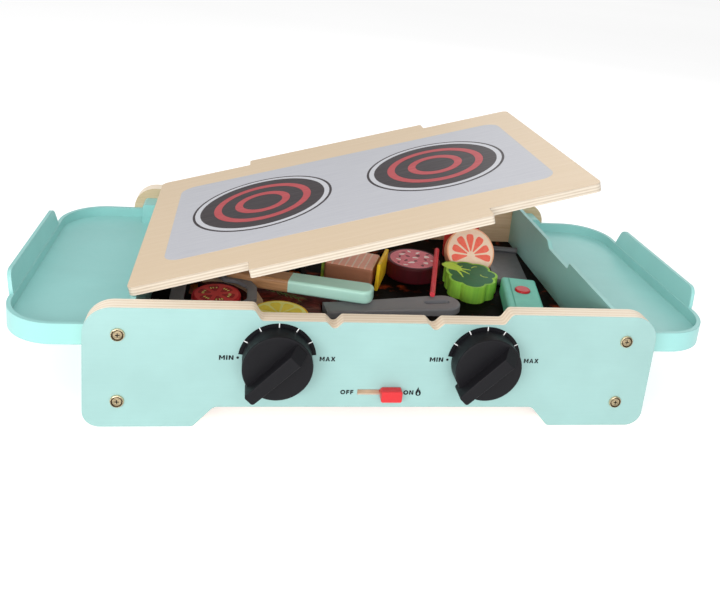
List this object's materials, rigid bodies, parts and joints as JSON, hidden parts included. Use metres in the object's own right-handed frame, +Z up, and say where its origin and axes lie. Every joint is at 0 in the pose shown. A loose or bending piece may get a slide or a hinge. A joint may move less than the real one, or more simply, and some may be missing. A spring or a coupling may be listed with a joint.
{
  "type": "toy barbecue grill",
  "caption": "Toy table-top barbecue grill: plywood panels, plastic side shelves, click knobs, ember switch, a lift-off cooktop board lying askew, and play food with tools inside.",
  "frame": {"origin": "on the surface the grill stands on, midway between its four feet", "axes": "+Z up, +X to the right and -Y to the front as seen by the child at the knobs"},
  "size_m": [0.498, 0.263, 0.1739],
  "materials": {
    "painted_ply": "satin mint paint on birch plywood",
    "ply": "clear satin",
    "mint_plastic": "satin mint",
    "ember_black": "printed matte black",
    "batten": "sanded",
    "ember_print": "printed embers",
    "black_plastic": "matte",
    "red_plastic": "gloss",
    "grey_plastic": "matte",
    "brass": "antique",
    "steel": "brushed",
    "wood_handle": "sanded, painted end",
    "food_steak": "painted",
    "food_tomato": "painted",
    "food_lemon": "painted",
    "food_salmon": "painted",
    "food_cheese": "painted",
    "food_lettuce": "painted",
    "food_salami": "painted",
    "food_broccoli": "painted",
    "food_grapefruit": "painted",
    "red_stick": "painted",
    "igniter_mint": "painted",
    "bottle": "painted"
  },
  "bodies": {
    "grill": {"front_panel": "painted_ply", "back_panel": "painted_ply", "cup_washers_front": "brass", "cup_washers_back": "brass", "panel_screws_front": "brass", "panel_screws_back": "brass", "side_shelf_right": "mint_plastic", "side_shelf_left": "mint_plastic", "ember_floor": "ember_black", "floor_cleat_front_left": "batten", "floor_cleat_front_right": "batten", "floor_cleat_back": "batten", "floor_screws": "steel", "shutter_guide_back": "batten", "shutter_guide_front": "batten", "guide_screws": "steel", "turner_handle": "wood_handle", "turner_screw": "brass", "turner_head": "grey_plastic", "serving_spatula": "grey_plastic", "skewer_stick": "red_stick", "rack_plate": "grey_plastic", "rack_rods": "grey_plastic", "steak": "food_steak", "lemon_slice": "food_lemon", "cheese_slice": "food_cheese", "lettuce_leaf": "food_lettuce", "broccoli": "food_broccoli", "grapefruit_slice": "food_grapefruit", "igniter_body": "igniter_mint", "igniter_spring": "steel", "sauce_bottle": "bottle", "bottle_cap": "ply", "salami_disc": "food_salami", "salmon_fillet": "food_salmon"},
    "knob_left": {"knob_left": "black_plastic", "knob_washer_left": "steel", "knob_screw_left": "steel"},
    "knob_right": {"knob_right": "black_plastic", "knob_washer_right": "steel", "knob_screw_right": "steel"},
    "ember_switch": {"switch_button": "red_plastic", "switch_slider": "black_plastic", "switch_screws": "steel", "ember_shutter": "ember_print"},
    "cooktop": {"cooktop_board": "ply"},
    "igniter_button": {"igniter_button": "red_plastic"},
    "tomato_slice": {"tomato_slice": "food_tomato"}
  },
  "joints": [
    {"name": "knob_left_turn", "type": "hinge", "parent": "grill", "child": "knob_left", "pos_m": [-0.069, -0.12, 0.0498], "axis": [0, 1, 0], "range_deg": [-135, 135]},
    {"name": "knob_right_turn", "type": "hinge", "parent": "grill", "child": "knob_right", "pos_m": [0.069, -0.12, 0.0498], "axis": [0, 1, 0], "range_deg": [-135, 135]},
    {"name": "ember_switch_slide", "type": "slide", "parent": "grill", "child": "ember_switch", "axis": [1, 0, 0], "range_m": [-0.0152, 0]},
    {"name": "cooktop_lift", "type": "slide", "parent": "grill", "child": "cooktop", "axis": [0, 0, 1], "range_m": [0, 0.15]},
    {"name": "igniter_press", "type": "slide", "parent": "grill", "child": "igniter_button", "axis": [0, 0, -1], "range_m": [0, 0.002], "stiffness_N_per_m": 300, "springref_m": -0.001},
    {"name": "tomato_lift", "type": "slide", "parent": "grill", "child": "tomato_slice", "axis": [0, 0, 1], "range_m": [0, 0.02]}
  ]
}
